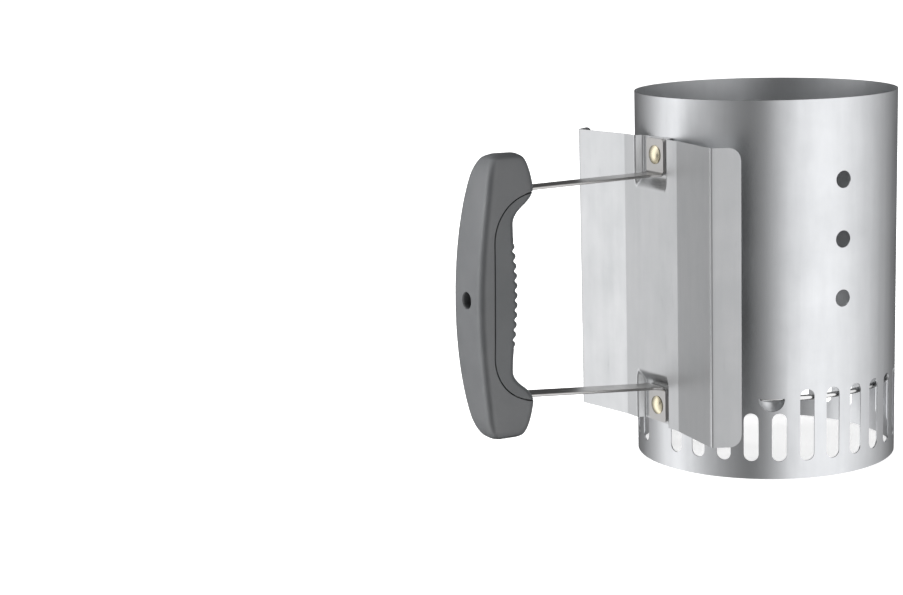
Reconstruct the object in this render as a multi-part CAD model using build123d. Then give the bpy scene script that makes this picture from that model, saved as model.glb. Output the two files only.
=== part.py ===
from build123d import *
import os
from math import atan, cos, degrees, hypot, radians, sin, sqrt, tan

# Chimney charcoal starter: an open steel tube with a draught slot row, a cone-shaped wire
# grate that rests on three lanced scoops, a heat shield, and a strap handle with a
# two-piece plastic grip. Millimetres. The origin is the centre of the base, +Z is up and
# the handle points to -X. An angle "from the handle" turns anticlockwise seen from above.

# ---------------------------------------------------------------- driving sizes
body_diameter = 153.0
body_height = 214.5
body_sheet = 0.8

slot_count = 30
slot_width = 8.5
slot_bottom = 10.2
slot_top = 51.5
short_slot_top = 38.1
slot_phase = -1.6            # degrees from the handle to the slot place that is left blank

vent_diameter = 9.8
vent_count = 3
vent_pitch = 33.6
vent_drop = 45.4             # from the top rim to the highest vent
vent_angle = 86.9

scoop_count = 3
scoop_angle = 55.2
scoop_width = 15.2
scoop_depth = 4.5
scoop_slit_z = 46.6
scoop_lip_slope = 0.7        # how steeply the lip falls as it goes inwards

wire_diameter = 3.1          # rings of the grate
rib_diameter = 2.6
ring_count = 5
rib_count = 6
crown_radius = 13.0
cone_slope = 0.7
grate_wall_gap = 1.15        # base ring to the tube
grate_seat_gap = 0.1         # base ring above the scoops
weld_depth = 0.35
rib_overrun = 1.2            # rib past the middle of the base ring
rib_end = 1.0                # rib past the inside of the crown ring

handle_lift = 1.65           # middle of the rivets above the middle of the tube
rivet_span = 146.0
shield_height = 166.0
shield_sheet = 0.7
shield_standoff = 4.7        # tube to the back of the web
web_half_width = 26.1
wing_half_width = 65.7
wing_rise = 6.0
flange_length = 16.5
flange_angle = 60.0          # between the return flange and the web
flange_corner = 7.0
soft_bend = 6.0
sharp_bend = 1.4

pocket_half_width = 14.7
pocket_draft = 1.5
pocket_length = 30.0
pocket_ramp = 7.5

strap_thickness = 1.45
strap_width = 12.5
ear_width = 16.5
ear_height = 19.5
ear_corner = 2.0
ear_taper = 6.0
taper_start = 1.0            # front of the ear to the start of the taper
arm_drop = 11.0              # rivet to the middle of the arm
strap_bend = 2.2
grip_bend = 4.5

handle_lean = 1.5            # degrees that the strap and the grip are tipped up

grip_reach = 126.7           # tube to the crown of the grip
grip_length = 158.4
grip_width = 32.0            # at its middle
grip_taper = 3.3             # power of the curve that narrows the width to the ends
grip_depth = 22.4            # crown to the middle of the finger side
grip_end_depth = 36.5        # crown to the inner face of the end lobes
grip_crown_radius = 300.0
grip_edge = 4.5              # rounding of the long edges
back_roll = 5.0              # how far the back turns in at the end faces
back_roll_height = 14.0
lobe_roll = 5.5              # how far the lobes turn in at the end faces
lobe_roll_height = 36.0
lobe_height = 23.8           # end of the grip to the start of the lobe's slope
lobe_slope = 35.0            # degrees
finger_hollow = 2.5          # crown of the finger side
finger_fillet = 9.0
parting_depth = 9.0          # crown to the straight part of the parting face
parting_gap = 0.3
parting_radius = 25.0
parting_angle = 20.0
arm_exit = 57.6              # half the distance between the arms where they enter the grip
arm_shift = 1.6              # middle between the arms above the middle of the grip
ridge_count = 11
ridge_pitch = 5.4
ridge_radius = 1.9
ridge_shift = 2.9            # middle of the ridges above the middle of the grip
shell_wall = 3.0

rivet_shank = 5.0
rivet_head = 10.7
rivet_rise = 2.2
rivet_tail = 8.0
rivet_tail_height = 1.2
rivet_tail_draft = 0.8
rivet_clearance = 0.1        # on the radius

screw_shank = 4.0
screw_head = 8.0
screw_head_height = 2.6
screw_recess = 10.0
screw_seat = 2.2             # plastic between the head and the parting face
screw_length = 12.0
screw_clearance = 0.15       # on the radius
screw_bite = 0.05            # on the radius, in the insert
screw_point = 2.0
screw_cross = 1.1            # width of the driver's cross
screw_cross_depth = 1.5
screw_gap = 0.02             # under the head
screw_relief = 1.0           # hole past the tip of the screw
screw_tip = 0.5              # radius of the point
strap_clearance = 0.3
wide = 60.0                  # reach of a cutter beyond the piece that it cuts
overrun = 5.0                # reach of the pocket's form past the end of the web
wall_growth = 1.3            # growth of the pocket's sloped foot for each millimetre of sheet
fine = 0.01                  # tolerance of a comparison, and an offset that keeps faces apart

# ---------------------------------------------------------------- places worked out from them
body_radius = body_diameter / 2
inner_radius = body_radius - body_sheet
handle_mid = body_height / 2 + handle_lift

pocket_back = body_radius
ear_back = pocket_back + shield_sheet
ear_front = ear_back + strap_thickness
web_back = body_radius + shield_standoff
web_front = web_back + shield_sheet

crown = body_radius + grip_reach
lobe_face = crown - grip_end_depth
parting_face = crown - parting_depth
run_middle = parting_face - strap_thickness / 2 - 0.1
half_grip = grip_length / 2

pitch = 360 / slot_count
scoop_angles = [scoop_angle + k * 360 / scoop_count for k in range(scoop_count)]
scoop_sphere = (scoop_width ** 2 / 4 + scoop_depth ** 2) / (2 * scoop_depth)

lean_cos = cos(radians(handle_lean))
lean_sin = sin(radians(handle_lean))


def outward_frame(distance, height, angle=0.0):
    """Location whose z axis points away from the tube's axis and whose y axis points up."""
    turn = Rot(0, 0, 180 + angle)
    return turn * Location(Plane(origin=(distance, 0, height), x_dir=(0, 1, 0), z_dir=(1, 0, 0)))


def leaned(out, up):
    """Point of the grip's own tipped frame, as its distance from the tube's axis and its height."""
    beyond = out - ear_back
    return (ear_back + beyond * lean_cos - up * lean_sin,
            handle_mid + beyond * lean_sin + up * lean_cos)


def grip_frame(out):
    """Location on the grip's middle line whose z axis points out of its back."""
    distance, height = leaned(out, 0)
    back = (-lean_cos, 0, lean_sin)
    return Location(Plane(origin=(-distance, 0, height), x_dir=(0, -1, 0), z_dir=back))


def angle_between(a, b):
    """Smallest angle between two directions, in degrees."""
    return abs((a - b + 180) % 360 - 180)


# planes through the handle: local x points outwards, local y points up
handle_plane = Plane(origin=(0, 0, 0), x_dir=(-1, 0, 0), z_dir=(0, 1, 0))
grip_foot = leaned(0, 0)
grip_plane = Plane(origin=(-grip_foot[0], 0, grip_foot[1]), x_dir=(-lean_cos, 0, lean_sin), z_dir=(0, 1, 0))


# ---------------------------------------------------------------- tube
def slot_cutter(angle, top):
    """Upright slot with round ends, cut straight through one side of the tube."""
    height = top - slot_bottom
    outline = SlotOverall(height, slot_width, rotation=90)
    cutter = extrude(outline, rivet_shank, both=True)
    return outward_frame(body_radius, slot_bottom + height / 2, angle) * cutter


def slot_row():
    """Every slot of the row: one place under the handle is blank, those by a scoop are short."""
    cutters = []
    for k in range(1, slot_count):
        angle = slot_phase + k * pitch
        near_scoop = min(angle_between(angle, a) for a in scoop_angles) < 0.8 * pitch
        cutters.append(slot_cutter(angle, short_slot_top if near_scoop else slot_top))
    return cutters


def vent_column(side):
    """Column of round vents on one side of the handle."""
    holes = []
    for k in range(vent_count):
        height = body_height - vent_drop - k * vent_pitch
        drill = Cylinder(vent_diameter / 2, 10)
        holes.append(outward_frame(body_radius, height, side * vent_angle) * drill)
    return holes


def scoop_ball(radius, angle):
    """Ball that presses a scoop: its centre is outside the tube, level with the slit."""
    centre = body_radius + scoop_sphere - scoop_depth
    return outward_frame(centre, scoop_slit_z, angle) * Sphere(radius)


def scoop_void(angle):
    """Hole that the lancing leaves in the wall, below the slit."""
    below = Pos(0, 0, scoop_slit_z - wide / 2) * Cylinder(body_radius + wide, wide)
    return scoop_ball(scoop_sphere, angle) & below


def scoop_bowl(angle):
    """Pressed-in bowl, trimmed to the tube outside and to the sloping lip above."""
    shell = scoop_ball(scoop_sphere + body_sheet, angle) - scoop_ball(scoop_sphere, angle)
    inside = Pos(0, 0, scoop_slit_z) * Cylinder(body_radius, wide)
    lip = degrees(atan(scoop_lip_slope))
    under = Location((0, 0, 0), (-lip, 0, 0)) * Pos(0, -wide / 2, 0) * Box(wide, wide, wide)
    trimmed = shell & inside
    return trimmed & (outward_frame(body_radius, scoop_slit_z, angle) * under)


def rivet_place(side):
    """Height of the upper (+1) or lower (-1) rivet."""
    return handle_mid + side * rivet_span / 2


def rivet_hole(side):
    """Clearance hole for a rivet through the wall, the shield and the ear."""
    drill = Cylinder(rivet_shank / 2 + rivet_clearance, wide)
    return outward_frame(body_radius, rivet_place(side)) * drill


def body_tube():
    wall = Cylinder(body_radius, body_height) - Cylinder(inner_radius, body_height)
    tube = Pos(0, 0, body_height / 2) * wall
    tube -= slot_row()
    tube -= vent_column(1) + vent_column(-1)
    for angle in scoop_angles:
        tube -= scoop_void(angle)
        tube += scoop_bowl(angle)
    tube -= [rivet_hole(1), rivet_hole(-1)]
    return tube


# ---------------------------------------------------------------- heat shield
def shield_sheet_form():
    """Bent sheet without its pockets: a web, two wings and two return flanges."""
    middle = web_back + shield_sheet / 2
    bend_out = middle + wing_rise
    end_out = bend_out - flange_length * sin(radians(flange_angle))
    end_side = wing_half_width + flange_length * cos(radians(flange_angle))
    half = [(-end_out, end_side), (-bend_out, wing_half_width), (-middle, web_half_width)]
    other = [(x, -y) for x, y in reversed(half)]
    radii = [sharp_bend, soft_bend, soft_bend, sharp_bend]
    route = FilletPolyline(*(half + other), radius=radii)
    route = Pos(0, 0, handle_mid) * route
    start = Plane(origin=route @ 0, x_dir=(0, 0, 1), z_dir=route % 0)
    sheet = sweep(start * Rectangle(shield_height, shield_sheet), path=route)
    corners = []
    for edge in sheet.edges():
        centre = edge.center()
        at_flange = abs(abs(centre.Y) - end_side) < shield_sheet
        at_end = abs(abs(centre.Z - handle_mid) - shield_height / 2) < fine
        if at_flange and at_end and abs(edge.length - shield_sheet) < fine:
            corners.append(edge)
    return fillet(corners, flange_corner)


def pocket_form(front, back, spare, side):
    """Tapered block of a pocket between two distances from the axis, grown by spare."""
    depth = web_front - ear_back
    faces = []
    for distance in (back, front):
        share = (distance - ear_back) / depth
        half_width = pocket_half_width - pocket_draft * (1 - share) + spare
        length = pocket_length - pocket_ramp * (1 - share) + wall_growth * spare + overrun
        middle = handle_mid + side * (shield_height / 2 + overrun - length / 2)
        plane = Plane(origin=(-distance, 0, middle), x_dir=(0, 1, 0), z_dir=(1, 0, 0))
        faces.append((plane * Rectangle(2 * half_width, length)).face())
    return loft(faces, ruled=True)


def heat_shield():
    sheet = shield_sheet_form()
    across = 4 * body_diameter
    keep = Pos(0, 0, handle_mid) * Box(across, across, shield_height)
    for side in (1, -1):
        metal = pocket_form(web_front - fine, pocket_back, shield_sheet, side) & keep
        sheet += metal
        sheet -= pocket_form(web_front + shield_sheet, ear_back, 0, side)
        sheet -= rivet_hole(side)
    return sheet


# ---------------------------------------------------------------- strap and rivets
def strap_corners():
    """Corner points of the strap's middle line, from the upper ear to the lower ear."""
    ear = ear_back + strap_thickness / 2
    root = rivet_span / 2 - arm_drop
    top = root + ear_height + strap_thickness / 2
    reach = (run_middle - ear) / (lobe_face - ear)
    upper_run = root + reach * (arm_exit + arm_shift - root)
    lower_run = root + reach * (arm_exit - arm_shift - root)
    return [
        (ear, handle_mid + top),
        (ear, handle_mid + root),
        leaned(run_middle, upper_run),
        leaned(run_middle, -lower_run),
        (ear, handle_mid - root),
        (ear, handle_mid - top),
    ]


def strap_form(thickness, width):
    """Flat strap bent along its middle line: ear, arm, run inside the grip, arm, ear."""
    radii = [strap_bend, grip_bend, grip_bend, strap_bend]
    route = handle_plane * FilletPolyline(*strap_corners(), radius=radii)
    start = Plane(origin=route @ 0, x_dir=(0, 1, 0), z_dir=route % 0)
    return sweep(start * Rectangle(width, thickness), path=route)


def arm_trim(side):
    """Plan shape removed beside the arms, which are narrower than the ears."""
    start = ear_front + taper_start
    points = [
        (-start, side * ear_width),
        (-start, side * ear_width / 2),
        (-start - ear_taper, side * strap_width / 2),
        (-crown, side * strap_width / 2),
        (-crown, side * ear_width),
    ]
    return extrude(make_face(Polyline(*points, close=True)), body_height + grip_length)


def handle_bracket():
    strap = strap_form(strap_thickness, ear_width)
    strap -= [arm_trim(1), arm_trim(-1)]
    ends = []
    for edge in strap.edges():
        centre = edge.center()
        flat = abs(edge.length - strap_thickness) < fine
        if flat and centre.X > -ear_front and abs(abs(centre.Y) - ear_width / 2) < fine:
            far = abs(centre.Z - handle_mid) > rivet_span / 2
            if far:
                ends.append(edge)
    strap = fillet(ends, ear_corner)
    strap -= [rivet_hole(1), rivet_hole(-1)]
    strap -= grip_frame(run_middle) * Cylinder(screw_shank / 2 + 2 * screw_clearance, wide / 4)
    return strap


def rivet(side):
    """Domed rivet: head on the ear, shank through three sheets, clenched tail inside."""
    ball = (rivet_head ** 2 / 4 + rivet_rise ** 2) / (2 * rivet_rise)
    dome = Pos(0, 0, rivet_rise - ball) * Sphere(ball)
    dome &= Pos(0, 0, rivet_rise) * Cylinder(rivet_head, 2 * rivet_rise)
    tail_face = sqrt(inner_radius ** 2 - rivet_tail ** 2 / 4) - 2 * fine
    grip_length_of_shank = ear_front - tail_face
    shank = Pos(0, 0, -grip_length_of_shank / 2) * Cylinder(rivet_shank / 2, grip_length_of_shank)
    tail = Cone(rivet_tail / 2 - rivet_tail_draft, rivet_tail / 2, rivet_tail_height)
    tail = Pos(0, 0, -grip_length_of_shank - rivet_tail_height / 2) * tail
    return outward_frame(ear_front, rivet_place(side)) * (dome + shank + tail)


# ---------------------------------------------------------------- grip
def quarter_curve(share):
    """Quarter ellipse that starts flat and falls by 1 as share goes from 0 to 1."""
    return 1 - sqrt(1 - min(max(share, 0), 1) ** 2)


def grip_section(up):
    """Rounded rectangle across the grip at one height above its middle."""
    share = abs(up) / (half_grip + 0.3)
    half_width = grip_width / 2 * (1 - share ** grip_taper) ** (1 / grip_taper)
    from_end = half_grip - abs(up)
    back = crown - up ** 2 / (2 * grip_crown_radius)
    back -= back_roll * quarter_curve(1 - from_end / back_roll_height)
    front = lobe_face + lobe_roll * quarter_curve(1 - from_end / lobe_roll_height)
    distance, height = leaned((back + front) / 2, up)
    plane = Plane(origin=(-distance, 0, height), x_dir=(-lean_cos, 0, lean_sin),
                  z_dir=(lean_sin, 0, lean_cos))
    return plane * RectangleRounded(back - front, 2 * half_width, min(grip_edge, 0.9 * half_width))


def finger_hollow_form():
    """Space cut from the finger side between the two lobes."""
    finger = crown - grip_depth
    finger_edge = finger + finger_hollow
    slope_start = half_grip - lobe_height
    run = tan(radians(lobe_slope))
    slope_end = slope_start - (finger_edge - lobe_face) * run
    outside = lobe_face - grip_edge
    slope_out = slope_start + grip_edge * run
    face = make_face([
        ThreePointArc((finger_edge, -slope_end), (finger, 0), (finger_edge, slope_end)),
        Line((finger_edge, slope_end), (outside, slope_out)),
        Line((outside, slope_out), (outside, -slope_out)),
        Line((outside, -slope_out), (finger_edge, -slope_end)),
    ])
    for side in (1, -1):
        near = face.vertices().sort_by_distance((finger_edge, side * slope_end, 0))[0]
        face = fillet(near, finger_fillet)
    return extrude(grip_plane * Pos(0, arm_shift) * face, grip_width, both=True)


def grip_block():
    """Whole grip before it is parted: sections along its length, less the finger hollow."""
    heights = [share * half_grip for share in (0, 0.2, 0.4, 0.6, 0.75, 0.87, 0.94, 0.98, 1)]
    heights = [-height for height in reversed(heights[1:])] + heights
    block = loft([grip_section(height) for height in heights])
    return block - finger_hollow_form()


def insert_region(spare):
    """Everything on the finger side of the parting face, moved outwards by spare."""
    face = parting_face + spare
    slope = tan(radians(parting_angle))
    tip = arm_exit + strap_thickness / 2 + parting_gap + spare
    corner = tip - (face - lobe_face) * slope
    far = lobe_face - grip_edge
    far_corner = corner + (face - far) * slope
    points = [(far, far_corner), (face, corner), (face, -corner), (far, -far_corner)]
    region = make_face(Polyline(*points, close=True))
    for side in (1, -1):
        near = region.vertices().sort_by_distance((face, side * corner, 0))[0]
        region = fillet(near, parting_radius)
    return extrude(grip_plane * Pos(0, arm_shift) * region, grip_width, both=True)


def strap_channel():
    """Space inside the outer shell that lets the strap drop in from the finger side."""
    corners = strap_corners()[1:5]
    spare = strap_thickness / 2 + strap_clearance
    points = [
        (corners[0][0], corners[0][1] + spare),
        (corners[1][0] + spare, corners[1][1] + spare),
        (corners[2][0] + spare, corners[2][1] - spare),
        (corners[3][0], corners[3][1] - spare),
    ]
    face = make_face(Polyline(*points, close=True))
    width = strap_width / 2 + strap_clearance
    return extrude(handle_plane * face, width, both=True)


def shell_cavity():
    """Two hollows that leave an even wall behind the crown."""
    core = Pos(crown - grip_crown_radius, 0) * Circle(grip_crown_radius - shell_wall)
    start = screw_recess / 2 + shell_wall
    stop = arm_exit - 4 * shell_wall
    strips = []
    for side in (1, -1):
        middle = side * (start + stop) / 2
        strips.append(Pos(crown, middle) * Rectangle(3 * parting_depth, stop - start))
    face = core & (strips[0] + strips[1])
    return extrude(grip_plane * face, grip_width / 2 - 2 * shell_wall, both=True)


def grip_outer_shell():
    shell = grip_block() - insert_region(parting_gap)
    shell -= strap_channel()
    shell -= shell_cavity()
    seat = grip_frame(parting_face + screw_seat)
    recess = Pos(0, 0, wide / 2) * Cylinder(screw_recess / 2, wide)
    shell -= seat * recess
    shell -= seat * Cylinder(screw_shank / 2 + screw_clearance, wide)
    return shell


def finger_ridges():
    """Rounded ridges across the finger side, each on the bowed face."""
    bow = ((half_grip - lobe_height) ** 2) / (2 * finger_hollow)
    finger = crown - grip_depth
    half_length = grip_width / 2 - grip_edge
    ridges = []
    for k in range(ridge_count):
        up = (k - (ridge_count - 1) / 2) * ridge_pitch + ridge_shift
        out = finger + up ** 2 / (2 * bow)
        rod = Cylinder(ridge_radius, 2 * half_length)
        caps = Pos(0, 0, half_length) * Sphere(ridge_radius)
        caps += Pos(0, 0, -half_length) * Sphere(ridge_radius)
        ridges.append(grip_plane * Pos(out, up, 0) * (rod + caps))
    return ridges


def grip_inner_insert():
    insert = grip_block() & insert_region(0)
    insert += finger_ridges()
    insert -= strap_form(strap_thickness + 2 * strap_clearance, strap_width + 2 * strap_clearance)
    depth = 2 * (screw_length - screw_seat + screw_relief)
    insert -= grip_frame(parting_face) * Cylinder(screw_shank / 2 + screw_bite, depth)
    return insert


def grip_screw():
    """Pan-head screw that clamps shell, strap and insert together."""
    head = Pos(0, 0, screw_head_height / 2) * Cylinder(screw_head / 2, screw_head_height)
    head = fillet(head.edges().sort_by(Axis.Z)[-1], screw_head_height / 3)
    straight = screw_length - screw_point
    shank = Pos(0, 0, -straight / 2) * Cylinder(screw_shank / 2, straight)
    tip = Pos(0, 0, screw_point / 2 - screw_length) * Cone(screw_tip, screw_shank / 2, screw_point)
    screw = head + shank + tip
    for turn in (0, 90):
        blade = Rot(0, 0, turn) * Box(screw_head / 2, screw_cross, 2 * screw_cross_depth)
        screw -= Pos(0, 0, screw_head_height) * blade
    return grip_frame(parting_face + screw_seat + screw_gap) * screw


# ---------------------------------------------------------------- grate
base_ring_radius = inner_radius - grate_wall_gap - wire_diameter / 2
lip_contact = wire_diameter / 2 * scoop_lip_slope / hypot(1, scoop_lip_slope)
lip_height = scoop_slit_z - scoop_lip_slope * (body_radius - base_ring_radius - lip_contact)
base_ring_z = lip_height + sqrt((wire_diameter / 2) ** 2 - lip_contact ** 2) + grate_seat_gap
ring_step = (base_ring_radius - crown_radius) / (ring_count - 1)


def grate_ring(k):
    """Ring k of the cone, counted from the base ring."""
    radius = base_ring_radius - k * ring_step
    height = base_ring_z + k * ring_step * cone_slope
    return Pos(0, 0, height) * Torus(radius, wire_diameter / 2)


def grate_rib(k):
    """Straight rib that lies on the rings, from the base ring to the crown ring."""
    tilt = atan(cone_slope)
    lift = (wire_diameter + rib_diameter) / 2 - weld_depth
    low_r = base_ring_radius + rib_overrun
    low_z = base_ring_z + lift / cos(tilt) - rib_overrun * cone_slope
    length = (low_r - crown_radius + wire_diameter / 2 + rib_end) / cos(tilt)
    rod = Pos(0, 0, length / 2) * Cylinder(rib_diameter / 2, length)
    angle = 360 / rib_count * (k + 0.5)
    plane = Plane(origin=(low_r, 0, low_z), x_dir=(0, 1, 0), z_dir=(-cos(tilt), 0, sin(tilt)))
    return Rot(0, 0, 180 + angle) * (plane * rod)


# ---------------------------------------------------------------- write every node
nodes = {
    "body_tube": body_tube(),
    "heat_shield": heat_shield(),
    "handle_bracket": handle_bracket(),
    "upper_rivet": rivet(1),
    "lower_rivet": rivet(-1),
    "grip_outer_shell": grip_outer_shell(),
    "grip_inner_insert": grip_inner_insert(),
    "grip_screw": grip_screw(),
}
for k in range(ring_count):
    name = "grate_base_ring" if k == 0 else f"grate_ring_{k}"
    nodes["grate_crown_ring" if k == ring_count - 1 else name] = grate_ring(k)
for k in range(rib_count):
    nodes[f"grate_rib_{k + 1}"] = grate_rib(k)

os.makedirs("parts", exist_ok=True)
for name, shape in nodes.items():
    export_step(shape, f"parts/{name}.step")
    box = shape.bounding_box()
    print(f"{name:20s} x {box.min.X:8.2f} {box.max.X:8.2f}  y {box.min.Y:8.2f} {box.max.Y:8.2f}"
          f"  z {box.min.Z:8.2f} {box.max.Z:8.2f}  volume {shape.volume:10.1f}")
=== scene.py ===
# %% [markdown]
# # A chimney charcoal starter
# A steel tube with draught slots holds charcoal over a cone of wire. A bent heat shield keeps the
# hand away from the tube, and a strap with a two-piece plastic grip carries it all. The tube, the
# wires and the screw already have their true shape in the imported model, so they only get a finish.
# The shield, the strap, the rivets and the grip are made again here as fine surfaces, because soft
# pressings, rolled edges and moulded ridges are easier to work out as arrays than as solids.

# %% Load the frame
from math import atan2, cos, degrees, pi, radians, sin, tan
import bpy
import numpy as np
from mathutils import Matrix, Vector


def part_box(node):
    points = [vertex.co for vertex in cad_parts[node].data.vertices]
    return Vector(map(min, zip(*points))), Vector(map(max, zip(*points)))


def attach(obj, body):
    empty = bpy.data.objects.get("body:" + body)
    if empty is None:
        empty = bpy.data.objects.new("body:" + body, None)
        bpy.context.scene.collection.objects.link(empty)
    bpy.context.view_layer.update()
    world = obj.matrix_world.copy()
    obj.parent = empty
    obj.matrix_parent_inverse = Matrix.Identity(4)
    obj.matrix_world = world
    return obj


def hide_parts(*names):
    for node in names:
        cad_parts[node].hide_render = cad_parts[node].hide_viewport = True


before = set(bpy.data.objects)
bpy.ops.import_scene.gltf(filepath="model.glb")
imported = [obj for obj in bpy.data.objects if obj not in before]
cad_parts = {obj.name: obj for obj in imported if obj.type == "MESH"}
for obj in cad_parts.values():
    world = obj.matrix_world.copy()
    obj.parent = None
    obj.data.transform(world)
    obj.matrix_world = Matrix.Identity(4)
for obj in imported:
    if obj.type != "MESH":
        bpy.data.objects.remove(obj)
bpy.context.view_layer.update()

# %% [markdown]
# ## Camera
# The camera stands in front and to the left of the tube, a little above its rim. It could be aimed
# with a Track To constraint, but three plain angles and a matrix say exactly where it looks. A
# small sideways shift puts the object right of the middle, and nothing else is shifted.

# %% Camera
camera_place = Vector((-0.7246, -0.9402, 0.3181))
camera_yaw = radians(31.187)
camera_pitch = radians(10.804)
camera_roll = radians(-1.210)
lens_length = 80.43
lens_shift = -0.1


def aim(place, yaw, pitch, roll):
    """Camera matrix: forward is turned by yaw from +Y and dips by pitch; roll turns the picture."""
    forward = Vector((sin(yaw) * cos(pitch), cos(yaw) * cos(pitch), -sin(pitch)))
    level = Vector((cos(yaw), -sin(yaw), 0))
    upright = level.cross(forward)
    right = cos(roll) * level + sin(roll) * upright
    up = cos(roll) * upright - sin(roll) * level
    matrix = Matrix((right, up, -forward)).transposed().to_4x4()
    matrix.translation = place
    return matrix


lens = bpy.data.cameras.new("camera")
lens.lens = lens_length
lens.shift_x = lens_shift
camera = bpy.data.objects.new("camera", lens)
camera.matrix_world = aim(camera_place, camera_yaw, camera_pitch, camera_roll)
bpy.context.scene.collection.objects.link(camera)
bpy.context.scene.camera = camera
camera_bearing = atan2(camera_place.y, camera_place.x)
print("camera bearing:", round(degrees(camera_bearing), 1))

# %% [markdown]
# ## Studio
# Satin metal looks like whatever stands round it, so a studio lights a tube with tall soft cards
# that show as upright bands. The cards could be area lights, but their edges would be hard to
# tune. Here the world itself is the cards: its brightness is a curve of the bearing, measured from
# the camera. Large soft lights, hidden from reflections, light the floor and the plastic.

# %% Surround of soft cards
# Bearing from the camera in degrees, anticlockwise seen from above, and the brightness there.
surround_cards = [
    (-180, 0.07), (-157, 0.08), (-143, 0.22), (-130, 0.36), (-117, 0.62), (-105, 1.06),
    (-94, 1.52), (-83, 1.56), (-70, 1.26), (-57, 0.82), (-45, 0.56), (-32, 0.42), (-20, 0.24),
    (-10, 0.15), (-2, 0.20), (5, 0.48), (13, 0.86), (22, 1.22), (33, 1.42), (48, 1.50),
    (64, 1.44), (76, 1.30), (90, 1.08), (103, 0.88), (118, 0.60), (134, 0.34), (155, 0.10),
    (180, 0.07),
]
surround_peak = 1.6
surround_blue = 1.01
backdrop_strength = 1.05


def link(tree, source, target):
    """Joins an output socket to an input socket."""
    tree.links.new(source, target)


def add_math(tree, operation, first, second=None):
    """Math node whose inputs are sockets or plain numbers; returns its output."""
    node = tree.nodes.new("ShaderNodeMath")
    node.operation = operation
    for socket, value in zip(node.inputs, (first, second)):
        if isinstance(value, bpy.types.NodeSocket):
            link(tree, value, socket)
        elif value is not None:
            socket.default_value = value
    return node.outputs[0]


def remap(tree, value, start, stop, low=0.0, high=1.0):
    """Maps a value from start..stop to low..high and holds it there."""
    node = tree.nodes.new("ShaderNodeMapRange")
    for label, number in (("From Min", start), ("From Max", stop), ("To Min", low), ("To Max", high)):
        node.inputs[label].default_value = number
    link(tree, value, node.inputs["Value"])
    return node.outputs[0]


def make_surround():
    """World whose reflected brightness follows the card curve; the camera sees plain white."""
    world = bpy.data.worlds.new("studio")
    world.use_nodes = True
    bpy.context.scene.world = world
    tree = world.node_tree
    direction = tree.nodes.new("ShaderNodeTexCoord").outputs["Generated"]
    parts = tree.nodes.new("ShaderNodeSeparateXYZ")
    link(tree, direction, parts.inputs[0])
    bearing = add_math(tree, "ARCTAN2", parts.outputs["Y"], parts.outputs["X"])
    turned = add_math(tree, "SUBTRACT", bearing, camera_bearing)
    turned = add_math(tree, "DIVIDE", turned, 2 * pi)
    share = add_math(tree, "FRACT", add_math(tree, "ADD", turned, 0.5))
    ramp = tree.nodes.new("ShaderNodeValToRGB")
    ramp.color_ramp.interpolation = "EASE"
    stops = ramp.color_ramp.elements
    while len(stops) < len(surround_cards):
        stops.new(0.5)
    for stop, (angle, brightness) in zip(stops, surround_cards):
        stop.position = angle / 360 + 0.5
        level = brightness / surround_peak
        stop.color = (level, level, level * surround_blue, 1)
    link(tree, share, ramp.inputs[0])
    cards = tree.nodes["Background"]
    cards.inputs["Strength"].default_value = surround_peak
    link(tree, ramp.outputs[0], cards.inputs["Color"])
    white = tree.nodes.new("ShaderNodeBackground")
    white.inputs["Color"].default_value = (1, 1, 1, 1)
    white.inputs["Strength"].default_value = backdrop_strength
    mix = tree.nodes.new("ShaderNodeMixShader")
    link(tree, tree.nodes.new("ShaderNodeLightPath").outputs["Is Camera Ray"], mix.inputs[0])
    link(tree, cards.outputs[0], mix.inputs[1])
    link(tree, white.outputs[0], mix.inputs[2])
    link(tree, mix.outputs[0], tree.nodes["World Output"].inputs[0])


make_surround()
bpy.context.scene.view_settings.view_transform = "Standard"
print("surround stops:", len(surround_cards))

# %% [markdown]
# ## Floor and soft lights
# A studio floor is a white sweep that has no edge. A curved backdrop could be modelled, but a flat
# floor is simpler, and it glows a little more with distance, so that it runs into the white behind.
# Near the tube it glows less, which leaves room for a soft shadow. One light hangs above and one
# stands to the left. They are square area lights, because large lights give soft shadows.

# %% Floor and soft lights
floor_half = 6.0
floor_grey = 0.60
floor_roughness = 0.9
floor_glow_near = 0.58
floor_glow_far = 0.85
glow_starts = 0.09
glow_full = 0.5
light_target = Vector((-0.06, 0, 0.1))


def glow_by_distance(tree, shader):
    """Floor glow that rises with the distance from the middle of the object's foot."""
    distance = tree.nodes.new("ShaderNodeVectorMath")
    distance.operation = "LENGTH"
    link(tree, tree.nodes.new("ShaderNodeTexCoord").outputs["Object"], distance.inputs[0])
    glow = remap(tree, distance.outputs["Value"], glow_starts, glow_full,
                 floor_glow_near, floor_glow_far)
    link(tree, glow, shader.inputs["Emission Strength"])


def make_floor():
    """Plain pale floor at the height that the tube stands on."""
    corners = [(-floor_half, -floor_half, 0), (floor_half, -floor_half, 0),
               (floor_half, floor_half, 0), (-floor_half, floor_half, 0)]
    mesh = bpy.data.meshes.new("floor")
    mesh.from_pydata(corners, [], [(0, 1, 2, 3)])
    paint = bpy.data.materials.new("floor_white")
    paint.use_nodes = True
    shader = paint.node_tree.nodes["Principled BSDF"]
    shader.inputs["Base Color"].default_value = (floor_grey, floor_grey, floor_grey, 1)
    shader.inputs["Roughness"].default_value = floor_roughness
    shader.inputs["Emission Color"].default_value = (1, 1, 1, 1)
    glow_by_distance(paint.node_tree, shader)
    mesh.materials.append(paint)
    floor = bpy.data.objects.new("floor", mesh)
    bpy.context.scene.collection.objects.link(floor)
    floor.visible_glossy = False


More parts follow.
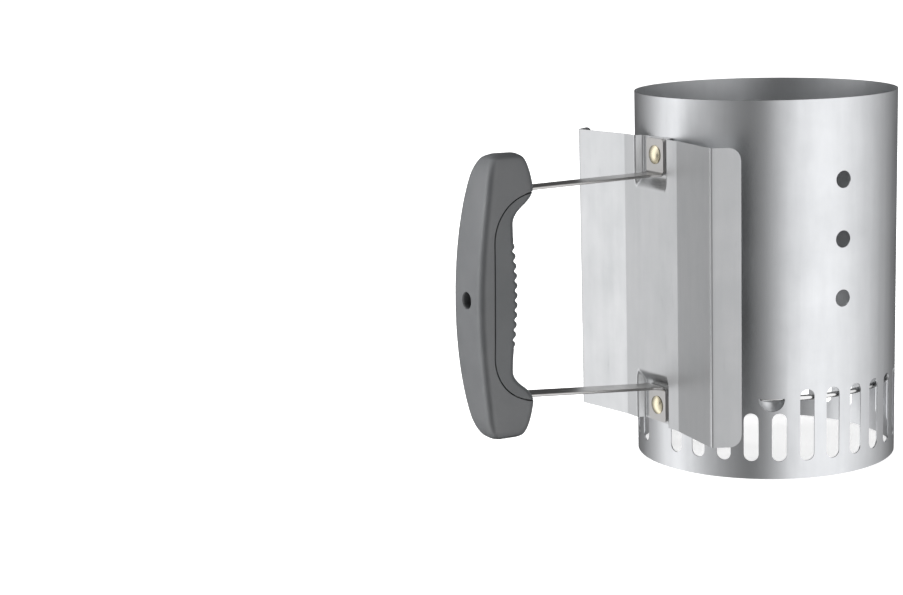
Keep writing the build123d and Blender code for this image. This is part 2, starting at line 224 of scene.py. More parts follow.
def soft_light(name, place, size, power):
    """Square area light aimed at the middle of the object and left out of reflections."""
    data = bpy.data.lights.new(name, "AREA")
    data.size = size
    data.energy = power
    lamp = bpy.data.objects.new(name, data)
    lamp.location = place
    lamp.rotation_euler = (Vector(place) - light_target).to_track_quat("Z", "Y").to_euler()
    lamp.visible_glossy = False
    bpy.context.scene.collection.objects.link(lamp)


make_floor()
soft_light("top_light", place=(0.1, 0.3, 1.8), size=1.6, power=20)
soft_light("left_light", place=(-1.45, 0.9, 0.6), size=1.0, power=78)
print("lights:", len(bpy.data.lights))

# %% [markdown]
# ## Helpers for surfaces
# Each new piece is a grid of points: rows along the piece and columns round its section. The grid
# could be drawn as curves with a bevel, but arrays keep every rounding and taper under control.
# The last column joins the first, and both ends are closed by strips, so every piece is a closed
# skin. A signed volume tells whether its faces point outwards, and if not, they are turned.

# %% Grid to closed mesh
mm = 0.001
sharp_angle = radians(40)


def closed_faces(rows, columns):
    """Quads of a grid whose columns wrap round, and strips that close its first and last rows."""
    row, column = np.meshgrid(np.arange(rows - 1), np.arange(columns), indexing="ij")
    after = (column + 1) % columns
    sides = np.stack([row * columns + column, row * columns + after,
                      (row + 1) * columns + after, (row + 1) * columns + column], axis=-1)
    near = np.arange(columns // 2 - 1)
    far = columns - 1 - near
    first = np.stack([near, far, far - 1, near + 1], axis=-1)
    last = first[:, ::-1] + (rows - 1) * columns
    return np.concatenate([sides.reshape(-1, 4), first, last])


def turned_outwards(points, faces):
    """The faces, reversed if the signed volume of their triangles' tetrahedra is negative."""
    a, b, c, d = (points[faces[:, k]] for k in range(4))
    volume = (a * np.cross(b, c)).sum() + (a * np.cross(c, d)).sum()
    return faces if volume > 0 else faces[:, ::-1]


def make_piece(name, grids, body, nodes):
    """One object from closed grids in metres; it rides on a body and replaces CAD nodes."""
    points, faces, start = [], [], 0
    for grid in grids:
        rows, columns = grid.shape[:2]
        flat = grid.reshape(-1, 3)
        points.append(flat)
        faces.append(turned_outwards(flat, closed_faces(rows, columns)) + start)
        start += len(flat)
    mesh = bpy.data.meshes.new(name)
    mesh.from_pydata(np.concatenate(points).tolist(), [], np.concatenate(faces).tolist())
    mesh.polygons.foreach_set("use_smooth", np.ones(len(mesh.polygons), dtype=bool))
    mesh.set_sharp_from_angle(angle=sharp_angle)
    piece = bpy.data.objects.new(name, mesh)
    bpy.context.scene.collection.objects.link(piece)
    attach(piece, body)
    if nodes:
        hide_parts(*nodes)
    print(name, len(mesh.polygons), "faces")
    return piece


print("a grid of 3 rows and 8 columns closes with", len(closed_faces(3, 8)), "faces")

# %% [markdown]
# ## Helpers for bent sheet
# Bent sheet and strap follow lines that are straight between round bends. A Bezier curve could
# draw them, but its handles hide the bend's radius. Here a path is a list of corners, and each
# corner gives way to an arc of its own radius that meets both runs smoothly. Other helpers walk
# along a path, round an edge, and turn workshop measures into the frame's metres.

# %% Paths with round corners
def unit(vector):
    """Vector of length 1."""
    return vector / np.linalg.norm(vector)


def rounded_path(corners, radii, arc_points=17):
    """Line through corners, each replaced by a tangent arc of its radius."""
    corners = [np.array(corner, dtype=float) for corner in corners]
    runs = [corners[0][None]]
    for before, corner, after, radius in zip(corners, corners[1:], corners[2:], radii):
        back, ahead = unit(before - corner), unit(after - corner)
        half = np.arccos(np.clip(back @ ahead, -1, 1)) / 2
        centre = corner + unit(back + ahead) * radius / np.sin(half)
        start = corner + back * radius / np.tan(half) - centre
        end = corner + ahead * radius / np.tan(half) - centre
        turn = pi - 2 * half
        share = np.linspace(0, 1, arc_points)[:, None]
        arc = (np.sin((1 - share) * turn) * start + np.sin(share * turn) * end) / np.sin(turn)
        runs.append(centre + arc)
    runs.append(corners[-1][None])
    return np.concatenate(runs)


def lengths_along(path):
    """Distance of each path point from its start."""
    steps = np.linalg.norm(np.diff(path, axis=0), axis=1)
    return np.concatenate([[0], np.cumsum(steps)])


def walk(path, stations):
    """Places and left-hand normals of a flat path at distances from its start."""
    length = lengths_along(path)
    place = np.stack([np.interp(stations, length, path[:, k]) for k in (0, 1)], axis=-1)
    small_step = 0.02
    before = np.clip(stations - small_step, 0, length[-1])
    after = np.clip(stations + small_step, 0, length[-1])
    ahead = np.stack([np.interp(after, length, path[:, k]) - np.interp(before, length, path[:, k])
                      for k in (0, 1)], axis=-1)
    ahead /= np.linalg.norm(ahead, axis=-1, keepdims=True)
    return place, np.stack([-ahead[:, 1], ahead[:, 0]], axis=-1)


def drop(distance, radius):
    """How far a rounded edge falls away at a distance from it: a quarter circle, then nothing."""
    gap = np.clip(radius - distance, 0, radius)
    return radius - np.sqrt(np.maximum(radius ** 2 - gap ** 2, 0))


def smooth(share):
    """Soft step from 0 to 1: three squares of the share less two cubes."""
    share = np.clip(share, 0, 1)
    return share * share * (3 - 2 * share)


def in_place(out, side, height):
    """Points in metres from millimetres out towards the handle, to the side, and up."""
    out, side, height = np.broadcast_arrays(out, side, height)
    return np.stack([-out, -side, height], axis=-1) * mm


print("a square corner of radius 2 has", len(rounded_path([(0, 0), (9, 0), (9, 9)], [2.0])), "points")

# %% [markdown]
# ## Heat shield
# On the real object this is one bent sheet: a flat web, two wings that spread the heat, and two
# return flanges that stiffen the wings. Each end of the web is pressed in to a pocket that meets
# the tube, where the strap is riveted. A sheet like this could be bent from a plane with bevels
# and a Boolean for the pockets, but the press leaves soft slopes. So the plan outline is a path
# with round bends, the height is the other parameter, and the pockets are a smooth function.

# %% Shield sizes
shield_low, shield_high = (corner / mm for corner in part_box("heat_shield"))
tube_radius = (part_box("body_tube")[1] / mm).x
handle_mid = (shield_low.z + shield_high.z) / 2
shield_half = (shield_high.z - shield_low.z) / 2
shield_sheet = 0.7
pocket_depth = 4.7
web_middle = tube_radius + pocket_depth + shield_sheet / 2
web_half = 26.1
web_bend = 6.0
wing_half = 65.7
wing_rise = 6.0
flange_length = 16.5
flange_angle = radians(60)
flange_bend = 1.4
flange_corner = 7.0
pocket_half = 13.4
pocket_side_slope = 2.7
pocket_floor = 22.5
pocket_end_slope = 7.5
pocket_wall = (10, 17)
row_bands = [(0, 6, 13), (7, 18, 7), (19, 32, 24)]
next_row = 36
print("shield height:", round(2 * shield_half, 2), "mm at", round(handle_mid, 2))


# %% Shield surface
def shield_plan():
    """Plan path, side against out: flange, wing, web, wing and flange with round bends."""
    bend = web_middle + wing_rise
    end_side = wing_half + flange_length * cos(flange_angle)
    end_out = bend - flange_length * sin(flange_angle)
    half = [(end_side, end_out), (wing_half, bend), (web_half, web_middle)]
    other = [(-side, out) for side, out in reversed(half)]
    return rounded_path(half + other, [flange_bend, web_bend, web_bend, flange_bend])


def pocket(side, from_end):
    """Depth of a pocket: a soft step of the distance past its sides and past its floor."""
    past_side = np.maximum(np.abs(side) - pocket_half, 0) / pocket_side_slope
    past_floor = np.maximum(from_end - pocket_floor, 0) / pocket_end_slope
    return pocket_depth * smooth(1 - np.hypot(past_side, past_floor))


def shield_grid():
    """Sheet surface: the plan path offset by half the sheet, carried up the height.

    Columns crowd at the round corners and along pocket_wall, which is measured from the middle.
    Rows crowd in the bands (from, to, how many), which are measured from the sheet's end, and
    from next_row on they are spread evenly to the middle.
    """
    path = shield_plan()
    length = lengths_along(path)
    whole = length[-1]
    edge = np.linspace(0, flange_corner, 15)
    wall = np.linspace(*pocket_wall, 18)
    walls = whole / 2 + np.concatenate([-wall[::-1], wall])
    stations = np.concatenate([length, edge, whole - edge, np.linspace(0, whole, 50), walls])
    stations = np.unique(np.round(stations, 3))
    place, normal = walk(path, stations)
    from_edge = np.minimum(stations, whole - stations)
    reach = shield_half - drop(from_edge, flange_corner)
    end = np.concatenate([np.linspace(*band) for band in row_bands])
    levels = np.concatenate([end, np.linspace(next_row, shield_half, 10)])
    share = 1 - levels / shield_half
    share = np.concatenate([share, -share[:-1][::-1]])[:, None]
    height = share * reach
    depth = pocket(place[:, 0], shield_half - np.abs(height))
    skins = []
    for sign in (1, -1):
        side = place[:, 0] + sign * normal[:, 0] * shield_sheet / 2
        out = place[:, 1] + sign * normal[:, 1] * shield_sheet / 2 - depth
        skins.append(in_place(out, side, handle_mid + height))
    return np.concatenate([skins[0], skins[1][:, ::-1]], axis=1)


shield = make_piece("shield_sheet", [shield_grid()], "starter", ["heat_shield"])

# %% [markdown]
# ## Strap
# One flat steel strap makes both ears, both arms and the run that is hidden in the grip. A Bezier
# curve with a bevel could make it, but its width changes: the ears are wider and have round
# corners. So the section is a thin rectangle with rounded long edges, and it is carried along a
# path with round bends, while its width depends on how far out from the tube the section is.

# %% Strap sizes
ear_back = tube_radius + shield_sheet
strap_thickness = 1.45
strap_edge = 0.35
ear_width = 16.5
strap_width = 12.5
ear_corner = 2.0
ear_bend = 2.2
ear_taper = 6.0
taper_start = 1.0
taper_band = (20, 34)
rivet_from_middle = 73.0
rivet_above_bend = 11.0
arm_root = rivet_from_middle - rivet_above_bend
ear_height = 19.5
arm_exit = 57.6
arm_shift = 1.6
lean = radians(1.5)
handle_reach = 126.7
lobe_depth = 36.5
shell_depth = 9.0
run_gap = 0.1
run_bend = 4.5
grip_crown = tube_radius + handle_reach
lobe_face = grip_crown - lobe_depth
parting_face = grip_crown - shell_depth
run_middle = parting_face - strap_thickness / 2 - run_gap


def leaned(out, side, up):
    """Point of the grip's own frame, tipped up by the lean about the foot of the ears."""
    beyond = out - ear_back
    return in_place(ear_back + beyond * cos(lean) - up * sin(lean), side,
                    handle_mid + beyond * sin(lean) + up * cos(lean))


def strap_corner(out, up):
    """Leaned corner of the strap's path, as out against height."""
    point = leaned(np.array(out), np.array(0.0), np.array(up)) / mm
    return (-point[0], point[2])


print("strap runs", round(float(run_middle - ear_back), 2), "mm out from its ears")


# %% Strap surface
def strap_path():
    """Side view of the strap's middle line, out against height, from ear to ear."""
    ear = ear_back + strap_thickness / 2
    tip = arm_root + ear_height + strap_thickness / 2
    reach = (run_middle - ear) / (lobe_face - ear)
    upper_run = arm_root + reach * (arm_exit + arm_shift - arm_root)
    lower_run = arm_root + reach * (arm_exit - arm_shift - arm_root)
    corners = [(ear, handle_mid + tip), (ear, handle_mid + arm_root),
               strap_corner(run_middle, upper_run), strap_corner(run_middle, -lower_run),
               (ear, handle_mid - arm_root), (ear, handle_mid - tip)]
    return rounded_path(corners, [ear_bend, run_bend, run_bend, ear_bend])


def strap_section(half_width):
    """Half widths and offsets across the strap, with quarter-round long edges, on one face."""
    angle = np.linspace(0, pi / 2, 5)
    inset = strap_edge * (1 - np.sin(angle))
    offset = strap_thickness / 2 - strap_edge * (1 - np.cos(angle[::-1]))
    offset = np.concatenate([offset, offset[::-1]])
    inward = half_width[:, None] - inset
    return np.concatenate([-inward, inward[:, ::-1]], axis=1), offset


def strap_grid():
    """Section carried along the path: wide ears with round corners, then a short taper.

    Sections crowd at the ears' corners and in taper_band, which is measured along the strap.
    """
    path = strap_path()
    length = lengths_along(path)
    whole = length[-1]
    corner = ear_corner * (1 - np.cos(np.linspace(0, pi / 2, 9)))
    taper = np.linspace(*taper_band, 29)
    stations = np.concatenate([length, corner, whole - corner, taper, whole - taper,
                               np.linspace(0, whole, 60)])
    stations = np.unique(np.round(stations, 3))
    place, normal = walk(path, stations)
    start = ear_back + strap_thickness + taper_start
    width = np.interp(place[:, 0], [start, start + ear_taper], [ear_width, strap_width])
    half_width = width / 2 - drop(np.minimum(stations, whole - stations), ear_corner)
    across, offset = strap_section(half_width)
    skins = []
    for sign in (1, -1):
        out = place[:, :1] + sign * normal[:, :1] * offset
        height = place[:, 1:] + sign * normal[:, 1:] * offset
        skins.append(in_place(out, across, height))
    return np.concatenate([skins[0], skins[1][:, ::-1]], axis=1)


strap = make_piece("strap", [strap_grid()], "starter", ["handle_bracket"])

# %% [markdown]
# ## Rivets
# Each end of the strap is held by one rivet with a low dome outside and a clenched rim inside the
# tube. A primitive sphere could be scaled flat, but the real head has a thin upright rim under
# the dome that shows as a dark outline. So the rivet is a profile that is turned about its axis.

# %% Rivets
rivet_radius = 5.35
rivet_rise = 2.2
rivet_rim = 0.45
rivet_rim_edge = 0.12
rivet_rim_inset = 0.3
rivet_pole = 0.03
rivet_shank = 2.5
tail_length = 1.2
tail_reach = 0.9
tail_roll = 0.6
tail_hollow = [(1.2, 0.35), (0.15, 0.5)]
rivet_turns = 48
ear_front = ear_back + strap_thickness
tail_end = -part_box("upper_rivet")[1].x / mm
rivet_length = ear_front - tail_end


def rivet_profile():
    """Radius and height of the rivet from dome to tail: arc, rim, shank, and a rolled tail."""
    dome_rise = rivet_rise - rivet_rim
    ball = (rivet_radius ** 2 + dome_rise ** 2) / (2 * dome_rise)
    angle = np.linspace(rivet_pole, np.arcsin(rivet_radius / ball), 14)
    dome = np.stack([ball * np.sin(angle), rivet_rise - ball + ball * np.cos(angle)], axis=-1)
    rim = [(rivet_radius, rivet_rim_edge), (rivet_radius - rivet_rim_inset, 0.0), (rivet_shank, 0.0)]
    roll = np.linspace(0, pi, 9)
    foot = -rivet_length
    tail = np.stack([rivet_shank + tail_reach + tail_roll * np.sin(roll),
                     foot + tail_roll + tail_roll * np.cos(roll)], axis=-1)
    hollow = [(radius, foot + rise) for radius, rise in tail_hollow]
    return np.concatenate([dome, rim, [(rivet_shank, foot + tail_length)], tail, hollow])


def rivet_grid(height):
    """Profile turned about a level axis that points away from the tube."""
    radius, rise = rivet_profile().T[..., None]
    turn = np.linspace(0, 2 * pi, rivet_turns, endpoint=False)
    return in_place(ear_front + rise, radius * np.cos(turn), height + radius * np.sin(turn))


rivets = []
for name in ("upper_rivet", "lower_rivet"):
    low, high = (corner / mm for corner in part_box(name))
    grid = rivet_grid((low.z + high.z) / 2)
    piece_name = name + "_head"
    rivets.append(make_piece(piece_name, [grid], "starter", [name]))

# %% [markdown]
# ## Grip
# The grip is moulded in two pieces: an outer shell that wraps over the ends, and an insert with
# ridges for the fingers. A thin dark line shows where they meet. Subdivision surfaces could make
# such soft forms, but the two pieces must share one outline. So both are sections along the
# length: one function gives the outline, another gives the parting line, and each piece keeps its
# own side. Rows are closer together near the ends, because they follow the sine of an angle.

# %% Outline of the grip
half_grip = 79.2
grip_half_width = 16.0
grip_taper = 3.3
grip_overreach = 0.3
crown_radius = 300.0
grip_edge = 4.5
back_roll = 5.0
back_roll_height = 14.0
lobe_roll = 5.5
lobe_roll_height = 36.0
lobe_height = 23.8
lobe_slope = radians(35.0)
lobe_blend = 8.0
end_round = 3.0
finger_depth = 24.2
finger_end_depth = 21.95
finger_face = grip_crown - finger_depth
finger_end = grip_crown - finger_end_depth
finger_bow = 31.0
finger_blend = 7.0
finger_end_blend = 1.0


def quarter_curve(share):
    """Quarter ellipse that starts flat and falls by 1 as share goes from 0 to 1."""
    return 1 - np.sqrt(1 - np.clip(share, 0, 1) ** 2)


def grip_back(up):
    """Outer face: a parabola about the crown, less a quarter ellipse near each end."""
    roll = quarter_curve(1 - (half_grip - np.abs(up)) / back_roll_height)
    return grip_crown - up ** 2 / (2 * crown_radius) - back_roll * roll


def grip_half(up):
    """Half width: the taper-th root of 1 less the taper-th power of the share of the length."""
    share = np.abs(up) / (half_grip + grip_overreach)
    return grip_half_width * (1 - share ** grip_taper) ** (1 / grip_taper)


def lobe_front(up):
    """Inner face of the end lobes: flat, then a quarter ellipse outwards to the end."""
    return lobe_face + lobe_roll * quarter_curve(1 - (half_grip - np.abs(up)) / lobe_roll_height)


def soft_lower(first, second, blend):
    """The lower of two values, less a parabola where they are closer than a blend distance."""
    gap = np.maximum(blend - np.abs(first - second), 0) / blend
    return np.minimum(first, second) - gap * gap * blend / 4


def soft_upper(first, second, blend):
    """The higher of two values, plus a parabola where they are closer than a blend distance."""
    return -soft_lower(-first, -second, blend)


def grip_front(up):
    """Finger side: a parabola in the middle, a straight slope, and each lobe, softly joined."""
    from_middle = np.abs(up - arm_shift)
    bow = finger_face + (finger_end - finger_face) * (from_middle / finger_bow) ** 2
    bow = soft_lower(bow, finger_end, finger_end_blend)
    slope = lobe_face + (half_grip - lobe_height - from_middle) / tan(lobe_slope)
    rise = soft_lower(bow, slope, finger_blend)
    return soft_upper(rise, lobe_front(up), lobe_blend)


print("grip depth in the middle:", round(float(grip_back(0.0) - grip_front(0.0)), 2), "mm")

# %% [markdown]
# ## Parting line
# The line where shell and insert meet runs straight along the fingers' side and swings into each
# lobe like a quarter of an ellipse. It could be drawn as a curve and used to cut one body, but a
# cut leaves ragged faces. Here it is one more function of the height, and both pieces end at it.
# The gap between them and their small round edges make the thin dark line.

# %% Parting line
parting_middle = 31.0
parting_end = 57.3
parting_shift = 1.0
parting_gap = 0.4
parting_edge = 0.4


def parting(up, spare=0.0):
    """Parting line: straight in the middle, then a quarter ellipse into each lobe."""
    from_middle = np.abs(up - parting_shift)
    share = (from_middle - parting_middle) / (parting_end + spare - parting_middle)
    curve = quarter_curve(share) * (parting_face - lobe_face)
    return parting_face + spare - curve


def side_contour(out, low, high, low_round, high_round, half):
    """Half width at each distance out: the edges at low and high fall away as quarter circles."""
    return half - drop(out - low, low_round) - drop(high - out, high_round)


def section_grid(up, out, half):
    """Closed sections: up one side from low to high, over the back, and down the other side."""
    across = np.concatenate([half, -half[:, ::-1]], axis=1)
    return leaned(np.concatenate([out, out[:, ::-1]], axis=1), across, up[:, None])


def eased(points):
    """Shares from 0 to 1 that crowd together at both ends."""
    return (1 - np.cos(np.linspace(0, pi, points))) / 2


print("parting line in the middle:", round(float(grip_crown - parting(0.0)), 2), "mm from the crown")

# %% [markdown]
# ## Outer shell
# The shell is the long back of the grip and both whole ends. Where it meets the insert, its
# sections start at the parting line, and past the insert's ends they start at the lobe's own face.
# One grid covers both, because a section's first point simply moves from one line to the other.

# %% Outer shell of the grip
edge_share = 0.85


def shell_grid(rows=181, side_points=27):
    """Shell: each section runs from the parting line, or the lobe's face, to the back."""
    up = half_grip * np.sin(np.linspace(-pi / 2, pi / 2, rows))
    inset = drop(half_grip - np.abs(up), end_round)
    back = grip_back(up) - inset
    front = grip_front(up) + inset
    half = grip_half(up) - inset
    whole = np.abs(up - parting_shift) >= parting_end + parting_gap
    low = np.where(whole, front, np.maximum(parting(up, parting_gap), front))
    edge = np.minimum(grip_edge, edge_share * half)
    out = low[:, None] + (back - low)[:, None] * eased(side_points)
    column = [value[:, None] for value in (low, front, back, edge, half)]
    low, front, back, edge, half = column
    width = side_contour(out, front, back, edge, edge, half)
    width -= drop(out - low, np.where(whole[:, None], 0, parting_edge))
    return section_grid(up, out, width)


shell = make_piece("grip_shell", [shell_grid()], "starter", ["grip_outer_shell"])

# %% [markdown]
# ## Ridged insert
# The fingers hold on to moulded ridges with round tips and narrow grooves. They could be cut with
# a row of cylinders, but each cut would leave hard edges. Here a wave moves the surface: outwards
# on the finger side, sideways on the flanks, and less and less towards the parting line.

# %% Ridged insert of the grip
ridge_count = 11
ridge_pitch = 5.4
ridge_shift = 2.9
ridge_groove = 1.4
ridge_stand = 0.5
ridge_sharpness = 1.6
ridge_fade = 5.0
insert_sweep = radians(88)


def ridge_wave(up):
    """Moulded ridges: a cosine wave whose dips a power makes narrow, faded past the last ridge."""
    place = (up - ridge_shift) / ridge_pitch
    wave = (1 + np.cos(2 * pi * place)) / 2
    band = smooth((ridge_count / 2 - np.abs(place)) * 2)
    return band * (ridge_stand - (ridge_groove + ridge_stand) * (1 - wave) ** ridge_sharpness)


def insert_grid(rows=341, side_points=27):
    """Insert: each section runs from the finger side to the parting line, with cut ridges."""
    up = parting_shift + parting_end * np.sin(np.linspace(-1, 1, rows) * insert_sweep)
    front = grip_front(up)[:, None]
    high = parting(up)[:, None]
    half = grip_half(up)[:, None]
    out = front + (high - front) * eased(side_points)
    width = side_contour(out, front, high, grip_edge, parting_edge, half)
    depth = ridge_wave(up)[:, None] * smooth(1 - (out - front) / ridge_fade)
    facing = np.clip((out - front) / grip_edge, 0, 1)
    out = out - depth * (1 - facing)
    width = width + depth * facing
    return section_grid(up, out, width)


insert = make_piece("grip_insert", [insert_grid()], "starter", ["grip_inner_insert"])

# %% [markdown]
# ## Fixing hole
# The screw that clamps the grip sits in a round hole in the middle of the back. A hole could be
# worked into the grid, but round holes and straight rows don't agree. A Boolean with a turned
# cutter makes it clean, and the cutter is removed afterwards, so only the mesh is left.

# %% Fixing hole
hole_radius = 4.4
hole_lip = 0.5
hole_ease = 0.12
hole_seat = 0.6
hole_overrun = 2.0
hole_turns = 64


def cutter_grid():
    """Round cutter along the screw's axis, flared at the mouth to soften the edge."""
    seat = parting_face + hole_seat
    mouth = grip_crown
    rise = np.array([seat, mouth - 2 * hole_lip, mouth - hole_lip, mouth, mouth + hole_overrun])
    radius = hole_radius + np.array([0, 0, hole_ease, hole_lip, hole_lip + hole_overrun])
    turn = np.linspace(0, 2 * pi, hole_turns, endpoint=False)
    return leaned(rise[:, None], radius[:, None] * np.cos(turn), radius[:, None] * np.sin(turn))


def cut(piece, grid):
    """Takes a closed grid away from a piece and keeps the result as its mesh."""
    points = grid.reshape(-1, 3)
    faces = turned_outwards(points, closed_faces(*grid.shape[:2]))
    mesh = bpy.data.meshes.new("cutter")
    mesh.from_pydata(points.tolist(), [], faces.tolist())
    cutter = bpy.data.objects.new("cutter", mesh)
    bpy.context.scene.collection.objects.link(cutter)
    boolean = piece.modifiers.new("hole", "BOOLEAN")
    boolean.object = cutter
    boolean.solver = "EXACT"
    bpy.context.view_layer.update()
    evaluated = piece.evaluated_get(bpy.context.evaluated_depsgraph_get())
    result = bpy.data.meshes.new_from_object(evaluated)
    piece.modifiers.clear()
    piece.data = result
    result.set_sharp_from_angle(angle=sharp_angle)
    bpy.data.objects.remove(cutter)
    print(piece.name, "has", len(result.polygons), "faces after the hole")


cut(shell, cutter_grid())

# %% [markdown]
# ## Welds of the grate
# The wires of the grate touch only where a rib crosses a ring, and there a small bead of weld
# metal holds them. Thirty beads could be thirty objects, but one mesh is lighter. Each bead is a
# squashed ball with a few dozen faces, set on the ring's own radius and height.

# %% Welds
ring_names = ["grate_base_ring", "grate_ring_1", "grate_ring_2", "grate_ring_3", "grate_crown_ring"]
rib_count = 6
cone_slope = 0.7
cone_tilt = np.arctan(cone_slope)
bead_half_length = 2.3
bead_radius = 1.35
bead_pole = 0.15
bead_rows = 7
bead_turns = 10


def bead_grid(centre, bearing):
    """Small ball, longer along the ring; rows run from pole to pole."""
    angle = np.linspace(bead_pole, pi - bead_pole, bead_rows)[:, None]
    turn = np.linspace(0, 2 * pi, bead_turns, endpoint=False)
    along = bead_half_length * np.cos(angle) + 0 * turn
    outward = bead_radius * np.sin(angle) * np.cos(turn)
    upward = bead_radius * np.sin(angle) * np.sin(turn)
    x = outward * np.cos(bearing) - along * np.sin(bearing)
    y = outward * np.sin(bearing) + along * np.cos(bearing)
    return (np.stack([x, y, upward], axis=-1) + centre) * mm


def bead_grids():
    """One bead for each crossing of a ring and a rib."""
    beads = []
    for name in ring_names:
        low, high = (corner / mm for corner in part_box(name))
        wire = (high.z - low.z) / 2
        radius = high.x - wire + wire * sin(cone_tilt)
        height = (low.z + high.z) / 2 + wire * cos(cone_tilt)
        for k in range(rib_count):
            bearing = pi + 2 * pi / rib_count * (k + 0.5)
            centre = np.array([radius * cos(bearing), radius * sin(bearing), height])
            beads.append(bead_grid(centre, bearing))
    return beads


welds = make_piece("grate_welds", bead_grids(), "grate", [])

# %% [markdown]
# ## Shared effects
# Every finish is a Principled shader in its own material. What several of them share is a node
# group with named inputs: rolling grain and mottle of sheet metal, small scuffs from handling,
# and the fine grain of moulded plastic. A group could hold the whole shader, but then its gloss
# would be hidden from the exporter, so a group only puts out masks, colours and heights.

# %% Tools for groups
def new_group(name, inputs, outputs):
    """Empty shader group with float inputs (name and start value) and float outputs."""
    group = bpy.data.node_groups.new(name, "ShaderNodeTree")
    for label, value in inputs:
        socket = group.interface.new_socket(label, in_out="INPUT", socket_type="NodeSocketFloat")
        socket.default_value = value
    for label in outputs:
        group.interface.new_socket(label, in_out="OUTPUT", socket_type="NodeSocketFloat")
    return group, group.nodes.new("NodeGroupInput"), group.nodes.new("NodeGroupOutput")


def noise(tree, vector, scale, detail=3.0, rough=0.55):
    """Noise pattern on a vector; returns its value output."""
    node = tree.nodes.new("ShaderNodeTexNoise")
    node.inputs["Detail"].default_value = detail
    node.inputs["Roughness"].default_value = rough
    link(tree, vector, node.inputs["Vector"])
    if isinstance(scale, bpy.types.NodeSocket):
        link(tree, scale, node.inputs["Scale"])
    else:
        node.inputs["Scale"].default_value = scale
    return node.outputs[0]


def stretched(tree, scale=(1, 1, 1)):
    """Object coordinates stretched by a scale along each axis."""
    mapping = tree.nodes.new("ShaderNodeMapping")
    mapping.inputs["Scale"].default_value = scale
    link(tree, tree.nodes.new("ShaderNodeTexCoord").outputs["Object"], mapping.inputs["Vector"])
    return mapping.outputs[0]


def blend_of(tree, first, second, first_share):
    """Sum of two values, the first with its share and the second with the rest of 1."""
    return add_math(tree, "ADD", add_math(tree, "MULTIPLY", first, first_share),
                    add_math(tree, "MULTIPLY", second, 1 - first_share))


print("groups so far:", len(bpy.data.node_groups))

# %% [markdown]
# ## Grain of rolled sheet
# Aluminised sheet has grain that runs with the rolling, a fine spangle, and a slow mottle that is
# seen only where light glances off. An image could show them, but noise has no edges or repeats.
# Noise that is squeezed along the height makes the lines. A scale is in waves per metre, so 1400
# is a spangle of under a millimetre.

# %% Sheet grain
grain_scale = 1800.0
spangle_scale = 1400.0
mottle_scale = 38.0
streak_scale = 150.0
grain_stretch = (1, 1, 0.06)
streak_stretch = (1, 1, 0.12)
grain_share = 0.6


def sheet_grain_group():
    """Rolled sheet: grain along the height, fine spangle, and a slow mottle."""
    group, start, end = new_group("sheet_grain", [("Grain Scale", grain_scale)],
                                  ["Height", "Mottle", "Streak"])
    lines = noise(group, stretched(group, grain_stretch), start.outputs["Grain Scale"], detail=2.0)
    spangle = noise(group, stretched(group), spangle_scale, detail=4.0)
    mottle = noise(group, stretched(group), mottle_scale, detail=5.0, rough=0.6)
    streak = noise(group, stretched(group, streak_stretch), streak_scale)
    height = blend_of(group, lines, spangle, grain_share)
    link(group, height, end.inputs["Height"])
    link(group, mottle, end.inputs["Mottle"])
    link(group, streak, end.inputs["Streak"])
    return group


sheet_grain = sheet_grain_group()
print("group:", sheet_grain.name)

# %% [markdown]
# ## Handling marks
# Everything that is carried gets thin scuffs and faint smudges. They could be painted by hand, but
# each piece would need its own picture. So thin noise is cut off high, which leaves sparse lines,
# and a second, slow noise says in which zones they may show.

# %% Handling marks
scuff_scale = 420.0
scuff_stretch = (1, 1, 0.15)
scuff_range = (0.66, 0.72)
zone_scale = 24.0
zone_range = (0.52, 0.68)
smudge_scale = 15.0
smudge_range = (0.45, 0.7)


def handling_group():
    """Handling marks: sparse thin scuffs and faint smudges."""
    group, start, end = new_group("handling_marks", [("Amount", 1.0)], ["Scuffs", "Smudges"])
    thin = noise(group, stretched(group, scuff_stretch), scuff_scale, detail=1.0)
    where = noise(group, stretched(group), zone_scale, detail=2.0)
    lines = remap(group, thin, *scuff_range)
    zone = remap(group, where, *zone_range)
    scuffs = add_math(group, "MULTIPLY", add_math(group, "MULTIPLY", lines, zone),
                      start.outputs["Amount"])
    cloud = noise(group, stretched(group), smudge_scale, detail=4.0)
    smudge = remap(group, cloud, *smudge_range)
    link(group, scuffs, end.inputs["Scuffs"])
    link(group, add_math(group, "MULTIPLY", smudge, start.outputs["Amount"]), end.inputs["Smudges"])
    return group


handling_marks = handling_group()
print("group:", handling_marks.name)

# %% [markdown]
# ## Grain of moulded plastic
# A mould's inside is spark-eroded, which leaves the plastic with fine pits. Plain noise would look
# like dirt, and plain cells would look like leather. The sum of both gives pits of uneven depth.

# %% Moulded grain
tone_scale = 45.0


def moulded_group():
    """Moulded plastic: fine spark-eroded grain and a slow change of tone."""
    group, start, end = new_group("moulded_grain", [("Grain Scale", 2600.0)], ["Height", "Tone"])
    coordinates = stretched(group)
    cells = group.nodes.new("ShaderNodeTexVoronoi")
    link(group, coordinates, cells.inputs["Vector"])
    link(group, start.outputs["Grain Scale"], cells.inputs["Scale"])
    fine = noise(group, coordinates, start.outputs["Grain Scale"])
    link(group, add_math(group, "ADD", cells.outputs["Distance"], fine), end.inputs["Height"])
    link(group, noise(group, coordinates, tone_scale, detail=4.0), end.inputs["Tone"])
    return group


moulded_grain = moulded_group()
print("groups:", [group.name for group in bpy.data.node_groups])

# %% [markdown]
# ## Helpers for materials
# A finish takes its steady numbers, such as metallic and coat, straight on the shader's own
# sockets, where an exporter can read them. Only what changes over the surface is linked: the
# colour, the roughness and the small relief.

# %% Tools for materials
coat_roughness = 0.35


